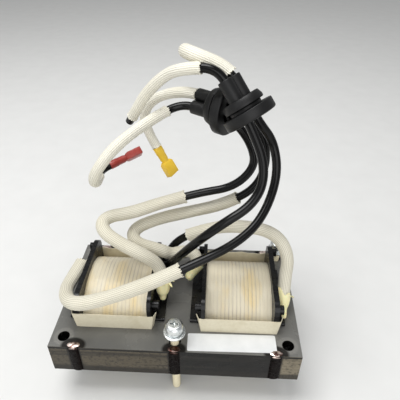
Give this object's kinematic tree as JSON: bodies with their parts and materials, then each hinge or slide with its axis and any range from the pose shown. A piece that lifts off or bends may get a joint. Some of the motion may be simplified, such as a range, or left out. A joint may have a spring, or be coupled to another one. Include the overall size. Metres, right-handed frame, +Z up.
{
  "type": "laminated chassis choke with sleeved leads",
  "caption": "Laminated double-E iron core with taped coils on moulded bobbins, and sleeved black leads through twin-tube rubber grommets to push-on terminals.",
  "frame": {"origin": "middle of the part's footprint, on the surface that the flanges of the bobbins rest on", "axes": "+Z up through the core's thickness, +X along the core's length past both coils, +Y away from the face with the label's edge"},
  "size_m": [0.14, 0.1283, 0.1828],
  "materials": {
    "core_steel": "glossy varnish over laminated steel",
    "weld": "heat-tinted weld",
    "gap_paper": "matte",
    "bobbin_black": "gloss",
    "winding_copper": "enamelled",
    "tape_cream": "varnished tape",
    "slot_paper": "matte",
    "label_white": "satin",
    "tube_cream": "satin",
    "zinc": "zinc plated",
    "grommet_rubber": "satin",
    "sleeve_cream": "woven",
    "wire_black": "gloss",
    "cap_yellow": "satin",
    "terminal_red": "satin",
    "terminal_yellow": "satin",
    "terminal_metal": "tin plated"
  },
  "bodies": {
    "root": {"bobbin_left": "bobbin_black", "bobbin_right": "bobbin_black", "core_double_e": "core_steel", "core_i_bar_left": "core_steel", "core_i_bar_right": "core_steel", "flat_washer_front": "zinc", "flat_washer_rear": "zinc", "gap_spacer_left": "gap_paper", "gap_spacer_right": "gap_paper", "grommet_lower": "grommet_rubber", "grommet_upper": "grommet_rubber", "insulating_tube_front": "tube_cream", "insulating_tube_rear": "tube_cream", "label": "label_white", "lead_wire_left_inner": "wire_black", "lead_wire_left_outer": "wire_black", "lead_wire_right_inner": "wire_black", "lead_wire_right_outer": "wire_black", "lower_sleeve_left_inner": "sleeve_cream", "lower_sleeve_left_outer": "sleeve_cream", "lower_sleeve_right_inner": "sleeve_cream", "lower_sleeve_right_outer": "sleeve_cream", "screw_front": "zinc", "screw_rear": "zinc", "slot_paper_front_left": "slot_paper", "slot_paper_front_right": "slot_paper", "slot_paper_rear_left": "slot_paper", "slot_paper_rear_right": "slot_paper", "splice_cap_left_inner": "cap_yellow", "splice_cap_right_inner": "cap_yellow", "splice_cap_right_outer": "cap_yellow", "spring_washer_front": "zinc", "spring_washer_rear": "zinc", "tape_wrap_left": "tape_cream", "tape_wrap_right": "tape_cream", "terminal_housing_left_inner": "terminal_red", "terminal_housing_right_inner": "terminal_yellow", "terminal_receptacle_left_inner": "terminal_metal", "terminal_receptacle_right_inner": "terminal_metal", "upper_sleeve_left_inner": "sleeve_cream", "upper_sleeve_left_outer": "sleeve_cream", "upper_sleeve_right_inner": "sleeve_cream", "upper_sleeve_right_outer": "sleeve_cream", "weld_beads": "weld", "winding_left": "winding_copper", "winding_right": "winding_copper"}
  },
  "joints": []
}
